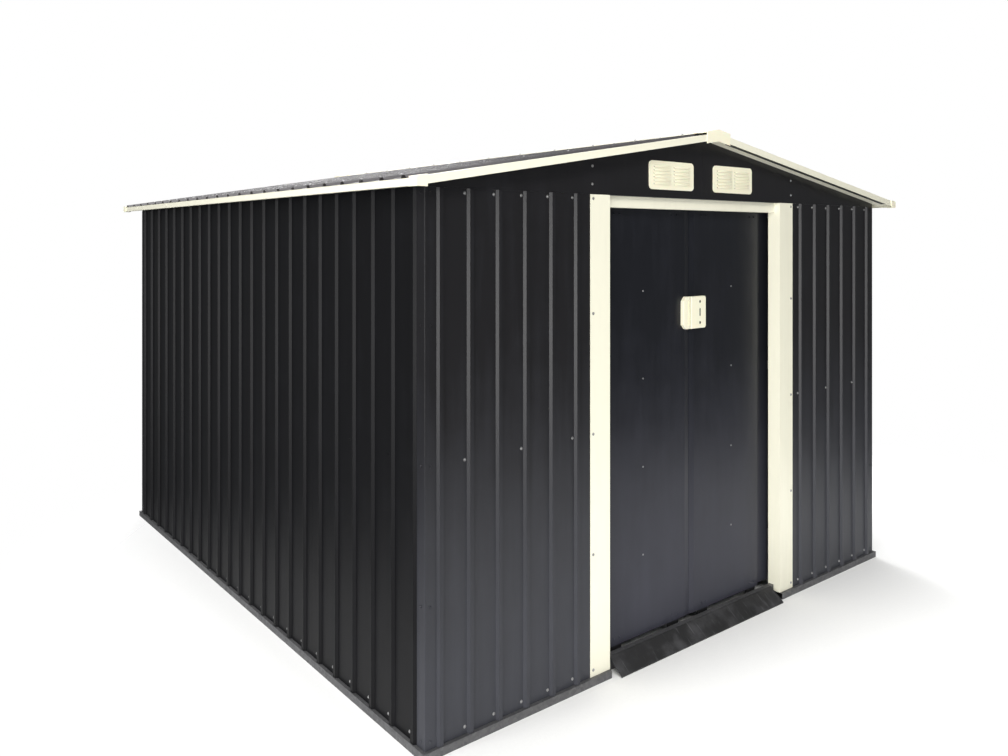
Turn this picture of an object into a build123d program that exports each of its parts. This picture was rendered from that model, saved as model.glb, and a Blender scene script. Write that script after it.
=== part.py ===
from build123d import *
import math
import os

# Walls, measured over their flat outer faces
width = 2570.0
depth = 2570.0
wall_top = 1626.0
sheet = 1.0
seat = 0.3
running_gap = 5.0

# Pressed ribs of the wall and roof sheets
rib_pitch = 112.0
rib_foot = 26.0
rib_crest = 14.0
rib_height = 9.0
wall_panels = 4
roof_panels = 4

# Roof: pitch in degrees, overhangs and the rise from the wall's top to the sheets at the eave
roof_pitch = 9.15
side_overhang = 75.0
end_overhang = 66.0
eave_rise = 20.0
ridge_gap = 5.0

# Base rails, folded from steel sheet
rail_sheet = 1.5
rail_ledge = 12.0
rail_height = 25.0
rail_foot = 44.0
rail_upstand = 40.0

# Corner posts
corner_leg = 38.0
corner_radius = 1.5

# Inner rails
mid_rail_height = 830.0
mid_rail_face = 40.0
mid_rail_depth = 25.0
top_rail_face = 40.0
top_rail_depth = 30.0

# Doorway and its frame
jamb_inner = 514.0
jamb_face = 95.0
jamb_depth = 50.0
jamb_flange = 25.0
jamb_lap = 40.0
header_face = 40.0
header_set = 21.0

# Door leaves
door_clear = 8.2
leaf_gap = 2.0
leaf_margin = 64.0
leaf_cover = 31.0
leaf_depth = 14.0
leaf_step = 14.0
leaf_bottom = 52.0
leaf_lap = 10.0
hem_width = 28.0
hem_drop = 4.0
brace_place = 268.0
brace_width = 30.0
brace_wing = 15.0
brace_depth = 10.0
brace_end = 8.0

# Door track over the leaves, the lip that they hang on and the guide below them
track_rise = 24.0
track_shelf = 8.0
track_flange = 11.5
lip_height = 16.0
lip_play = 1.5
guide_height = 32.0
hanger_width = 50.0
hanger_drop = 50.0
hanger_leg = 10.0
hanger_cap = 10.0
hanger_toe = 4.0
hanger_inner = 90.0
hanger_margin = 40.0
guide_lift = 18.0
guide_leg = 4.0
guide_over = 4.0
guide_plate = 43.0

# Threshold and its ramp
threshold_height = 50.0
threshold_depth = 18.0
ramp_inset = 24.0
ramp_reach = 20.0
ramp_nose = 5.0
ramp_sheet = 2.0
ramp_drop = 1.0
ramp_lip = 3.0

# Door handles
handle_low = 1138.0
handle_height = 122.0
handle_outer_left = 52.0
handle_inner_left = 14.0
handle_inner_right = 8.0
handle_outer_right = 82.0
handle_depth = 14.0
handle_chamfer = 16.0
handle_round = 9.0
handle_edge = 2.0
plate_depth = 11.0
plate_foot = 4.0
finger_groove = 8.0
finger_groove_depth = 6.0
finger_groove_end = 14.0
plate_hole = 6.0
plate_hole_end = 21.0
key_slot = 31.0
key_slot_width = 9.0
plate_hole_place = 46.0

# Louvred vents in the front gable
vent_width = 250.0
vent_height = 102.0
vent_inner = 61.0
vent_rise = 28.0
vent_plate = 4.0
vent_corner = 15.0
vent_frame = 14.0
vent_rows = 6
vent_slot = 94.0
vent_slot_height = 5.0
vent_strip = 18.0

# Roof timbers of folded steel
purlin_place = 590.0
purlin_flange = 40.0
purlin_clear = 2.0
ridge_beam_half = 30.0
ridge_beam_depth = 70.0

# Roof trims and their moulded caps
eave_face = 22.0
eave_hem = 18.0
eave_lip = 14.0
rake_lap = 28.0
rake_face = 24.0
rake_lip = 3.0
rake_lip_rise = 5.0
ridge_cap_half = 65.0
cap_shell = 2.5
apex_side = 5.0
apex_drop = 29.0
apex_hood = 60.0
corner_cap = 34.0
corner_cap_drop = 2.0
roof_rib_clear = 2.0

FRONT = Vector(0, -1, 0)
BACK = Vector(0, 1, 0)
LEFT = Vector(-1, 0, 0)
RIGHT = Vector(1, 0, 0)
UP = Vector(0, 0, 1)

pitch_angle = math.radians(roof_pitch)
eave_height = wall_top + eave_rise
roof_half_width = width / 2 + side_overhang
roof_half_length = depth / 2 + end_overhang
ridge_height = eave_height + roof_half_width * math.tan(pitch_angle)
slope_length = roof_half_width / math.cos(pitch_angle)
inner_face = sheet + seat
rake_outer = seat + sheet
sheet_foot = rail_height + seat
jamb_outer = jamb_inner + jamb_face
jamb_back = jamb_inner + rail_sheet + seat
web_set = jamb_depth + seat
door_set = web_set + rail_sheet + door_clear
door_back = door_set + sheet + seat
leaf_front = jamb_inner - leaf_margin
leaf_width = jamb_inner + leaf_cover
leaf_top = wall_top - header_face + leaf_lap
track_top = wall_top + track_rise
shelf_height = leaf_top + track_shelf
lip_top = shelf_height + lip_height
lip_front = door_back + hanger_toe + lip_play
lip_set = lip_front + rail_sheet


def reach(out):
    """Distance from the middle of the shed to the flat face of the wall that faces out."""
    return depth / 2 if out.X == 0 else width / 2


def span(out):
    """Length of the wall that faces out."""
    return width if out.X == 0 else depth


def along(out):
    """Direction in which a wall's places are counted: on the front, towards the left."""
    return out.cross(UP)


def section_plane(out, start):
    """Plane across a wall: x is outward from its flat face and y is up."""
    return Plane(origin=out * reach(out) + along(out) * start, x_dir=out, z_dir=along(out))


def plan_plane(out, height):
    """Level plane on a wall: x is along the wall and y is outward from its flat face."""
    return Plane(origin=out * reach(out) + UP * height, x_dir=along(out), z_dir=UP)


def face_plane(distance):
    """Upright plane parallel to the front, this far behind its flat face: x is to the right."""
    return Plane(origin=FRONT * (depth / 2 - distance), x_dir=RIGHT, z_dir=FRONT)


def slope_plane(side, distance):
    """Plane across a roof slope, this far down from the ridge: y is the roof's upward normal."""
    down = Vector(side.X * math.cos(pitch_angle), 0, -math.sin(pitch_angle))
    normal = Vector(side.X * math.sin(pitch_angle), 0, math.cos(pitch_angle))
    ridge = UP * ridge_height
    return Plane(origin=ridge + down * distance, x_dir=normal.cross(down), z_dir=down)


def roof_under(x):
    """Height of the roof sheets' underside at a place across the shed."""
    return ridge_height - abs(x) * math.tan(pitch_angle)


def folded(path, thickness):
    """Outline of a sheet folded along a path, on the left of it or, if negative, on the right."""
    points = [Vector(x, y, 0) for x, y in path]
    runs = [(end - start).normalized() for start, end in zip(points, points[1:])]
    far_side = []
    for point, before, after in zip(points, runs[:1] + runs, runs + runs[-1:]):
        across = Vector(-before.Y - after.Y, before.X + after.X, 0)
        far_side.append(point + across * (2 * thickness / across.length**2))
    return points + far_side[::-1]


def sheet_profile(path, thickness):
    """Face of a folded sheet in the sketch that is open."""
    Polygon(*folded(path, thickness), align=None)


def outline(points):
    """Face inside a closed outline in the sketch that is open."""
    Polygon(*points, align=None)


def folded_rail(out, start, end, path, thickness):
    """Sheet folded to one section and run along a wall from start to end."""
    with BuildSketch(section_plane(out, start)) as section:
        sheet_profile(path, thickness)
    extrude(section.sketch, amount=end - start)


def channel_rail(out, start, end, low, face, rail_depth, front=inner_face):
    """C channel along a wall, its web outward at front and its open side inward."""
    path = [(-front - rail_depth, low), (-front, low), (-front, low + face), (-front - rail_depth, low + face)]
    folded_rail(out, start, end, path, rail_sheet)


def mitre(out, end):
    """Cut at 45 degrees where a rail meets the next wall's rail at its end 1 or -1."""
    corner = out * reach(out) + along(out) * (end * span(out) / 2)
    facing = (along(out) * end - out).normalized()
    split(bisect_by=Plane(origin=corner - facing * (seat / 2), z_dir=facing), keep=Keep.BOTTOM)


def rib_centres(length, plain_edge):
    """Places of the ribs, counted from the middle, with a plain strip left at both edges."""
    gaps = int((length - 2 * plain_edge - rib_foot) // rib_pitch)
    return [(i - gaps / 2) * rib_pitch for i in range(gaps + 1)]


def ribbed_path(start, end, centres, base):
    """Outer face of a ribbed sheet from start to end."""
    path = [(start, base)]
    for centre in centres:
        path.append((centre - rib_foot / 2, base))
        path.append((centre - rib_crest / 2, base + rib_height))
        path.append((centre + rib_crest / 2, base + rib_height))
        path.append((centre + rib_foot / 2, base))
    return path + [(end, base)]


def panel_paths(start, end, centres, panels, base):
    """Paths of the panels that make up a face, with a seam midway between two ribs."""
    cuts = [round(i * len(centres) / panels) for i in range(panels + 1)]
    seams = [centres[cut] - rib_pitch / 2 for cut in cuts[1:-1]]
    lows = [start] + [seam + seat / 2 for seam in seams]
    highs = [seam - seat / 2 for seam in seams] + [end]
    groups = [centres[a:b] for a, b in zip(cuts, cuts[1:])]
    return [ribbed_path(low, high, group, base) for low, high, group in zip(lows, highs, groups)]


def wall_sheets(out, start, end, centres, panels, top):
    """Ribbed panels of one wall, standing on the base rail's ledge."""
    for path in panel_paths(start, end, centres, panels, 0):
        with BuildSketch(plan_plane(out, sheet_foot)) as panel:
            sheet_profile(path, -sheet)
        extrude(panel.sketch, amount=top - sheet_foot)


def write(piece, name):
    piece.part.label = name
    export_step(piece.part, f"parts/{name}.step")


os.makedirs("parts", exist_ok=True)

# Base rails: a foot on the ground, a ledge for the sheets and an upstand behind them
base_path = [
    (-rail_foot, 0),
    (rail_ledge, 0),
    (rail_ledge, rail_height),
    (-inner_face, rail_height),
    (-inner_face, rail_height + rail_upstand),
]
for name, out in (("back", BACK), ("left", LEFT), ("right", RIGHT)):
    with BuildPart() as base_rail:
        half = span(out) / 2 + rail_ledge
        folded_rail(out, -half, half, base_path, rail_sheet)
        mitre(out, 1)
        mitre(out, -1)
    write(base_rail, f"base_rail_{name}")

with BuildPart() as base_rail_front_left:
    folded_rail(FRONT, jamb_back, width / 2 + rail_ledge, base_path, rail_sheet)
    mitre(FRONT, 1)
write(base_rail_front_left, "base_rail_front_left")

with BuildPart() as base_rail_front_right:
    folded_rail(FRONT, -width / 2 - rail_ledge, -jamb_back, base_path, rail_sheet)
    mitre(FRONT, -1)
write(base_rail_front_right, "base_rail_front_right")

# Bottom track: an angle on the ground that the leaves' guides run astride
with BuildPart() as door_bottom_track:
    track_half = width / 2 - rail_foot - seat
    guide_path = [(-rail_foot - seat, 0), (-lip_set, 0), (-lip_set, guide_height)]
    folded_rail(FRONT, -track_half, track_half, guide_path, -rail_sheet)
write(door_bottom_track, "door_bottom_track")

# Threshold: a hat between the jambs, with a ramp in front
hat_half = jamb_inner - seat
hat_front = rail_foot - threshold_depth
with BuildPart() as door_threshold:
    hat_path = [
        (-hat_front, 0),
        (-hat_front, threshold_height),
        (-rail_foot, threshold_height),
        (-rail_foot, 0),
    ]
    folded_rail(FRONT, -hat_half, hat_half, hat_path, rail_sheet)
write(door_threshold, "door_threshold")

with BuildPart() as threshold_ramp:
    ramp_top = threshold_height - ramp_drop
    ramp_path = [
        (rail_ledge + ramp_reach, 0),
        (rail_ledge + ramp_reach, ramp_nose),
        (ramp_lip - hat_front, ramp_top),
        (seat - hat_front, ramp_top),
    ]
    ramp_half = hat_half - ramp_inset
    folded_rail(FRONT, -ramp_half, ramp_half, ramp_path, ramp_sheet)
write(threshold_ramp, "threshold_ramp")

# Corner posts: angles over the edges of the wall sheets
for name, sx, sy in (
    ("front_left", -1, -1),
    ("front_right", 1, -1),
    ("back_left", -1, 1),
    ("back_right", 1, 1),
):
    with BuildPart() as corner_post:
        edge_x = width / 2 + seat
        edge_y = depth / 2 + seat
        angle_path = [
            (sx * (edge_x - corner_leg), sy * edge_y),
            (sx * edge_x, sy * edge_y),
            (sx * edge_x, sy * (edge_y - corner_leg)),
        ]
        with BuildSketch(Plane.XY.offset(sheet_foot)):
            sheet_profile(angle_path, sx * sy * sheet)
        extrude(amount=wall_top - sheet_foot)
        outer_edge = corner_post.edges().filter_by(Axis.Z).sort_by(Axis((0, 0, 0), (sx, sy, 0)))[-1]
        fillet(outer_edge, corner_radius)
    write(corner_post, f"corner_post_{name}")

# Wall sheets
side_top = roof_under(width / 2 + rib_height) - seat
for name, out in (("left", LEFT), ("right", RIGHT)):
    with BuildPart() as side_wall:
        centres = rib_centres(depth, corner_leg)
        wall_sheets(out, -depth / 2, depth / 2, centres, wall_panels, side_top)
    write(side_wall, f"{name}_wall")

cross_half = width / 2 - inner_face
cross_ribs = rib_centres(width, corner_leg)
with BuildPart() as back_wall:
    wall_sheets(BACK, -cross_half, cross_half, cross_ribs, wall_panels, wall_top)
write(back_wall, "back_wall")

panel_end = jamb_outer - jamb_lap
door_side_ribs = [centre for centre in cross_ribs if centre > jamb_outer + rib_foot]
with BuildPart() as front_wall_left:
    wall_sheets(FRONT, panel_end, cross_half, door_side_ribs, 1, wall_top)
write(front_wall_left, "front_wall_left")

with BuildPart() as front_wall_right:
    mirrored_ribs = [-centre for centre in reversed(door_side_ribs)]
    wall_sheets(FRONT, -cross_half, -panel_end, mirrored_ribs, 1, wall_top)
write(front_wall_right, "front_wall_right")

# Gables: two flat sheets at each end, from the wall sheets up to the roof
gable_foot = wall_top + seat
vent_middle = vent_inner + vent_width / 2
vent_centre = wall_top + vent_rise + vent_height / 2
for end, distance in (("front", 0), ("back", depth - sheet)):
    for name, side in (("left", -1), ("right", 1)):
        with BuildPart() as gable:
            with BuildSketch(face_plane(distance)):
                outline(
                    [
                        (side * seat / 2, gable_foot),
                        (side * cross_half, gable_foot),
                        (side * cross_half, roof_under(cross_half) - seat),
                        (side * seat / 2, roof_under(seat / 2) - seat),
                    ]
                )
                if end == "front":
                    with Locations((side * vent_middle, vent_centre)):
                        hole_width = vent_width - 2 * vent_frame
                        hole_height = vent_height - 2 * vent_frame
                        Rectangle(hole_width, hole_height, mode=Mode.SUBTRACT)
            extrude(amount=-sheet)
        write(gable, f"gable_{end}_{name}")

# Vents: plates with two columns of slots
for name, side in (("left", -1), ("right", 1)):
    with BuildPart() as vent:
        with BuildSketch(face_plane(-seat)):
            with Locations((side * vent_middle, vent_centre)):
                RectangleRounded(vent_width, vent_height, vent_corner)
        extrude(amount=vent_plate)
        with BuildSketch(face_plane(-seat)):
            row_pitch = (vent_height - 2 * vent_frame) / vent_rows
            with Locations((side * vent_middle, vent_centre)):
                with GridLocations(vent_slot + vent_strip, row_pitch, 2, vent_rows):
                    SlotOverall(vent_slot, vent_slot_height)
        extrude(amount=vent_plate, mode=Mode.SUBTRACT)
    write(vent, f"vent_{name}")

# Door frame: two jambs and a header between them
for name, side in (("left", 1), ("right", -1)):
    with BuildPart() as door_jamb:
        jamb_path = [
            (side * jamb_outer, seat + rail_sheet),
            (side * jamb_inner, seat + rail_sheet),
            (side * jamb_inner, -jamb_depth),
            (side * (jamb_inner + jamb_flange), -jamb_depth),
        ]
        with BuildSketch(plan_plane(FRONT, sheet_foot)):
            sheet_profile(jamb_path, side * rail_sheet)
        extrude(amount=wall_top - sheet_foot)
    write(door_jamb, f"door_jamb_{name}")

with BuildPart() as door_header:
    header_half = jamb_inner - seat
    header_low = wall_top - header_face
    header_depth = jamb_depth - header_set
    channel_rail(FRONT, -header_half, header_half, header_low, header_face, header_depth, header_set)
write(door_header, "door_header")

# Door track: from the gable back over the frame, and down to the lip that carries the leaves
with BuildPart() as door_track:
    track_path = [
        (-inner_face, track_top),
        (-inner_face, track_top - track_flange),
        (-web_set, track_top - track_flange),
        (-web_set, shelf_height),
        (-lip_set, shelf_height),
        (-lip_set, lip_top),
    ]
    folded_rail(FRONT, -cross_half, cross_half, track_path, -rail_sheet)
write(door_track, "door_track")

# Top rails: behind the heads of the wall sheets, those at the sides under the roof's slope
with BuildPart() as top_rails:
    top_rail_low = wall_top - top_rail_face
    side_set = inner_face + top_rail_depth
    side_path = [
        (-side_set, top_rail_low),
        (-inner_face, top_rail_low),
        (-inner_face, roof_under(width / 2 - inner_face) - seat),
        (-side_set, roof_under(width / 2 - side_set) - seat),
    ]
    back_end = depth / 2 - side_set - seat
    front_end = depth / 2 - lip_set - seat
    folded_rail(LEFT, -front_end, back_end, side_path, rail_sheet)
    folded_rail(RIGHT, -back_end, front_end, side_path, rail_sheet)
    back_face = track_top - top_rail_low
    channel_rail(BACK, -cross_half, cross_half, top_rail_low, back_face, top_rail_depth)
    channel_rail(FRONT, jamb_back, cross_half, top_rail_low, top_rail_face, mid_rail_depth)
    channel_rail(FRONT, -cross_half, -jamb_back, top_rail_low, top_rail_face, mid_rail_depth)
write(top_rails, "top_rails")

# Mid rails: channels behind the wall sheets at half height
with BuildPart() as mid_rails:
    mid_low = mid_rail_height - mid_rail_face / 2
    mid_end = depth / 2 - inner_face - mid_rail_depth - seat
    for out in (LEFT, RIGHT):
        channel_rail(out, -mid_end, mid_end, mid_low, mid_rail_face, mid_rail_depth)
    channel_rail(BACK, -cross_half, cross_half, mid_low, mid_rail_face, mid_rail_depth)
    channel_rail(FRONT, jamb_back, cross_half, mid_low, mid_rail_face, mid_rail_depth)
    channel_rail(FRONT, -cross_half, -jamb_back, mid_low, mid_rail_face, mid_rail_depth)
write(mid_rails, "mid_rails")

# Roof purlins and ridge beam, between the gables
beam_half = depth / 2 - inner_face
with BuildPart() as roof_purlins:
    purlin_bottom = track_top + purlin_clear
    far = purlin_place + purlin_flange
    for side in (-1, 1):
        purlin_path = [
            (side * far, purlin_bottom),
            (side * purlin_place, purlin_bottom),
            (side * purlin_place, roof_under(purlin_place) - seat),
            (side * far, roof_under(far) - seat),
        ]
        with BuildSketch(Plane.XZ):
            sheet_profile(purlin_path, -side * rail_sheet)
        extrude(amount=beam_half, both=True)
write(roof_purlins, "roof_purlins")

with BuildPart() as ridge_beam:
    shoulder = roof_under(ridge_beam_half) - seat
    beam_path = [
        (-ridge_beam_half, shoulder - ridge_beam_depth),
        (-ridge_beam_half, shoulder),
        (0, ridge_height - seat),
        (ridge_beam_half, shoulder),
        (ridge_beam_half, shoulder - ridge_beam_depth),
    ]
    with BuildSketch(Plane.XZ):
        sheet_profile(beam_path, -rail_sheet)
    extrude(amount=beam_half, both=True)
write(ridge_beam, "ridge_beam")

# Roof sheets and the ridge cap that lies on their ribs
roof_ribs = rib_centres(2 * roof_half_length, max(rake_lap, corner_cap) + roof_rib_clear)
for name, side in (("left", LEFT), ("right", RIGHT)):
    with BuildPart() as roof:
        for path in panel_paths(-roof_half_length, roof_half_length, roof_ribs, roof_panels, sheet):
            with BuildSketch(slope_plane(side, ridge_gap)):
                sheet_profile(path, -sheet)
            extrude(amount=slope_length - ridge_gap)
    write(roof, f"roof_{name}")

cap_rise = (sheet + rib_height + seat + rail_sheet) / math.cos(pitch_angle)
rake_half = roof_half_length + rake_outer
with BuildPart() as ridge_cap:
    cap_edge = roof_under(ridge_cap_half) + cap_rise
    cap_path = [(-ridge_cap_half, cap_edge), (0, ridge_height + cap_rise), (ridge_cap_half, cap_edge)]
    with BuildSketch(Plane.XZ):
        sheet_profile(cap_path, -rail_sheet)
    extrude(amount=rake_half, both=True)
write(ridge_cap, "ridge_cap")

# Eave trims: fascias under the lower edge of the roof sheets
for name, out in (("left", LEFT), ("right", RIGHT)):
    with BuildPart() as eave_trim:
        trim_top = eave_height - seat
        trim_low = eave_height - eave_face
        eave_path = [
            (side_overhang - eave_hem, trim_low),
            (side_overhang, trim_low),
            (side_overhang, trim_top),
            (side_overhang - eave_lip, trim_top + eave_lip * math.tan(pitch_angle)),
        ]
        folded_rail(out, -roof_half_length, roof_half_length, eave_path, sheet)
    write(eave_trim, f"eave_trim_{name}")

# Rake trims: fascias along the sloping edges of the roof, with a lip at the foot and a soffit to the gable
flange_top = rake_outer + sheet
fascia_foot = flange_top - rake_face
soffit_height = fascia_foot + rake_lip_rise
rake_run = (roof_half_width - eave_hem - seat) / math.cos(pitch_angle) - ridge_gap
with BuildPart() as rake_trims_front:
    for side in (LEFT, RIGHT):
        rake_path = [
            (-side.X * (roof_half_length - rake_lap), flange_top),
            (-side.X * rake_half, flange_top),
            (-side.X * rake_half, fascia_foot),
            (-side.X * (rake_half - rake_lip), fascia_foot),
            (-side.X * (rake_half - rake_lip), soffit_height),
            (-side.X * (depth / 2 + seat), soffit_height),
        ]
        with BuildSketch(slope_plane(side, ridge_gap)):
            sheet_profile(rake_path, side.X * sheet)
        extrude(amount=rake_run)
write(rake_trims_front, "rake_trims_front")

with BuildPart() as rake_trims_back:
    add(rake_trims_front.part.mirror(Plane.XZ))
write(rake_trims_back, "rake_trims_back")

# Ridge end caps: a plate over the ends of the rake trims and a hood over the ridge cap
with BuildPart() as ridge_end_caps:
    apex_half = ridge_cap_half + apex_side
    hood_low = roof_under(apex_half) + cap_rise + seat
    hood_peak = ridge_height + cap_rise + seat
    apex_plane = face_plane(depth / 2 - rake_half - seat)
    with BuildSketch(apex_plane):
        outline(
            [
                (-apex_half, roof_under(apex_half) - apex_drop),
                (0, ridge_height - apex_drop),
                (apex_half, roof_under(apex_half) - apex_drop),
                (apex_half, hood_low + cap_shell),
                (0, hood_peak + cap_shell),
                (-apex_half, hood_low + cap_shell),
            ]
        )
    extrude(amount=cap_shell)
    with BuildSketch(apex_plane):
        outline(
            [
                (-apex_half, hood_low),
                (0, hood_peak),
                (apex_half, hood_low),
                (apex_half, hood_low + cap_shell),
                (0, hood_peak + cap_shell),
                (-apex_half, hood_low + cap_shell),
            ]
        )
    extrude(amount=-apex_hood)
    mirror(about=Plane.XZ)
write(ridge_end_caps, "ridge_end_caps")

# Eave corner caps: shells over the corners where the trims meet
with BuildPart() as eave_corner_caps:
    cap_low = eave_height - eave_face - corner_cap_drop
    inner_rise = (flange_top + seat) / math.cos(pitch_angle)
    outer_rise = inner_rise + cap_shell
    rake_tip = flange_top * math.sin(pitch_angle)
    cavity_x = roof_half_width + rake_tip + seat
    shell_x = cavity_x + cap_shell
    inboard_x = roof_half_width - corner_cap
    cavity_y = rake_half + seat
    shell_y = cavity_y + cap_shell
    with BuildSketch(Plane.XZ.offset(roof_half_length - corner_cap)):
        outline(
            [
                (inboard_x, cap_low),
                (shell_x, cap_low),
                (shell_x, roof_under(shell_x) + outer_rise),
                (inboard_x, roof_under(inboard_x) + outer_rise),
            ]
        )
    extrude(amount=shell_y - roof_half_length + corner_cap)
    with BuildSketch(Plane.XZ.offset(roof_half_length - corner_cap)):
        outline(
            [
                (inboard_x, cap_low),
                (cavity_x, cap_low),
                (cavity_x, roof_under(cavity_x) + inner_rise),
                (inboard_x, roof_under(inboard_x) + inner_rise),
            ]
        )
    extrude(amount=cavity_y - roof_half_length + corner_cap, mode=Mode.SUBTRACT)
    mirror(about=Plane.XZ)
    mirror(about=Plane.YZ)
write(eave_corner_caps, "eave_corner_caps")

# Door leaves: pans with a hem at the seam and a stepped outer edge, each with a brace behind
for name, side in (("left", 1), ("right", -1)):
    with BuildPart() as door_leaf:
        leaf_path = [
            (side * leaf_gap / 2, -door_set - leaf_depth),
            (side * leaf_gap / 2, -door_set - hem_drop),
            (side * hem_width, -door_set),
            (side * leaf_front, -door_set),
            (side * (leaf_front + leaf_step), -door_set - leaf_depth),
            (side * leaf_width, -door_set - leaf_depth),
        ]
        with BuildSketch(plan_plane(FRONT, leaf_bottom)):
            sheet_profile(leaf_path, -side * sheet)
        extrude(amount=leaf_top - leaf_bottom)
        brace_path = [
            (brace_place - brace_width / 2 - brace_wing, -door_back),
            (brace_place - brace_width / 2, -door_back),
            (brace_place - brace_width / 2, -door_back - brace_depth),
            (brace_place + brace_width / 2, -door_back - brace_depth),
            (brace_place + brace_width / 2, -door_back),
            (brace_place + brace_width / 2 + brace_wing, -door_back),
        ]
        with BuildSketch(plan_plane(FRONT, leaf_bottom + brace_end)):
            sheet_profile([(side * x, y) for x, y in brace_path], -side * sheet)
        extrude(amount=leaf_top - leaf_bottom - 2 * brace_end)
    write(door_leaf, f"door_leaf_{name}")

# Hangers that hook over the track's lip, and guides astride the bottom track
hanger_outer = leaf_front - hanger_margin
toe_back = door_back + hanger_toe
slot_back = lip_set + lip_play
hook_top = lip_top + seat
hanger_back = slot_back + hanger_leg
hanger_outline = [
    (-door_back, leaf_top - hanger_drop),
    (-door_back, leaf_top),
    (-slot_back, leaf_top),
    (-slot_back, hook_top),
    (-toe_back, hook_top),
    (-toe_back, hook_top - hanger_cap),
    (-door_back, hook_top - hanger_cap),
    (-door_back, hook_top + hanger_cap),
    (-hanger_back, hook_top + hanger_cap),
    (-hanger_back, leaf_top - hanger_drop),
]
guide_outline = [
    (-door_back, leaf_bottom + guide_plate),
    (-door_back, guide_lift),
    (-toe_back, guide_lift),
    (-toe_back, guide_height + guide_over),
    (-slot_back, guide_height + guide_over),
    (-slot_back, guide_lift),
    (-slot_back - guide_leg, guide_lift),
    (-slot_back - guide_leg, leaf_bottom + guide_plate),
]
for name, side in (("left", 1), ("right", -1)):
    with BuildPart() as door_hangers:
        for place in (hanger_inner, hanger_outer):
            for block in (hanger_outline, guide_outline):
                with BuildSketch(section_plane(FRONT, side * place)):
                    outline(block)
                extrude(amount=hanger_width / 2, both=True)
    write(door_hangers, f"door_hangers_{name}")

# Door handles: a pull on the left leaf and a lock plate on the right one
handle_middle = handle_low + handle_height / 2
with BuildPart() as door_handle_left:
    with BuildSketch(face_plane(door_set - seat)) as pull:
        pull_width = handle_outer_left - handle_inner_left
        with Locations((-(handle_outer_left + handle_inner_left) / 2, handle_middle)):
            Rectangle(pull_width, handle_height)
        chamfer(pull.vertices().group_by(Axis.X)[0], handle_chamfer)
    extrude(amount=handle_depth)
    groove_place = -handle_inner_left - finger_groove
    with BuildSketch(face_plane(door_set - seat - handle_depth)):
        with Locations((groove_place, handle_middle)):
            SlotOverall(handle_height - 2 * finger_groove_end, finger_groove, rotation=90)
    extrude(amount=-finger_groove_depth, mode=Mode.SUBTRACT)
    fillet(door_handle_left.faces().sort_by(Axis.Y)[0].outer_wire().edges(), handle_edge)
write(door_handle_left, "door_handle_left")

with BuildPart() as door_handle_right:
    plate_back = door_set - running_gap
    with BuildSketch(face_plane(plate_back)) as plate:
        with Locations(((handle_outer_right - handle_inner_right) / 2, handle_middle)):
            Rectangle(handle_outer_right + handle_inner_right, handle_height)
        fillet(plate.vertices().group_by(Axis.X)[-1], handle_round)
    extrude(amount=plate_depth)
    fillet(door_handle_right.faces().sort_by(Axis.Y)[0].edges(), handle_edge)
    with BuildSketch(face_plane(plate_back)):
        foot_inner = handle_inner_right + plate_foot
        foot_outer = handle_outer_right - plate_foot
        with Locations(((foot_inner + foot_outer) / 2, handle_middle)):
            Rectangle(foot_outer - foot_inner, handle_height - 2 * plate_foot)
    extrude(amount=seat - running_gap)
    with BuildSketch(face_plane(door_set - seat)):
        with Locations((plate_hole_place, handle_middle)):
            with GridLocations(0, handle_height - 2 * plate_hole_end, 1, 2):
                Circle(plate_hole)
            SlotOverall(key_slot, key_slot_width, rotation=90)
    extrude(amount=running_gap + plate_depth, mode=Mode.SUBTRACT)
write(door_handle_right, "door_handle_right")
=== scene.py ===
# %% [markdown]
# # A ribbed metal shed
#
# The shed's folded sheets, rails and doors come in from CAD at their real size. This lesson gives
# them their finishes and adds what a fitter would bring to the site in small bags: screws, rivets,
# louvre blades, caps, foam strips and tape. Everything is in metres, in the CAD's own frame, with
# the ground at z = 0.

import math
import random

import bpy
from mathutils import Matrix, Vector


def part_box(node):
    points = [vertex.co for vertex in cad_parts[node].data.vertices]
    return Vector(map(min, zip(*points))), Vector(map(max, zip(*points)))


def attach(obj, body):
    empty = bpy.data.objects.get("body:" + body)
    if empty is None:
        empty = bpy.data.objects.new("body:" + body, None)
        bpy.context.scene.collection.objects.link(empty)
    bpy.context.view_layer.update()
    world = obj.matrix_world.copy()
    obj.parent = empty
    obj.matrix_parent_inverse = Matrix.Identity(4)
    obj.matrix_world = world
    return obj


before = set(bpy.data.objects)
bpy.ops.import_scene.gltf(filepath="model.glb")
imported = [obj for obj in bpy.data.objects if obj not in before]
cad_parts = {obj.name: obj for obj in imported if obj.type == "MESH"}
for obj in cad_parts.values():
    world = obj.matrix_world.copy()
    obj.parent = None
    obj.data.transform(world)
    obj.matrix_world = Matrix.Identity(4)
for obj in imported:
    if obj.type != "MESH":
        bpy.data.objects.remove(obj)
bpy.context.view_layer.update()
MM = 0.001

# %% [markdown]
# ## Places read from the frame
#
# Screws and trims have to sit on real sheet metal, so their places are worked out from the boxes of
# the nodes that carry them. The ribs are the exception: a box doesn't show them, so their pitch and
# size are stated here, as a roofer would read them from the sheet's data card.

# %% Measure the sheets
wall_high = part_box("back_wall")[1]
side_low, side_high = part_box("left_wall")
jamb_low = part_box("door_jamb_left")[0]
leaf_low, leaf_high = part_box("door_leaf_left")
roof_low, roof_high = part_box("roof_right")

rib_pitch = 112 * MM
rib_foot = 26 * MM
rib_height = 9 * MM
rib_count = 23
half_plan = side_high.y
wall_top = wall_high.z
ledge_top = side_low.z


def spread(count, pitch):
    """Places in a row at a pitch, centred on 0."""
    return [(i - (count - 1) / 2) * pitch for i in range(count)]


rib_places = spread(rib_count, rib_pitch)
print("half of the plan:", round(half_plan, 4), "wall top:", round(wall_top, 4))

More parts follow.
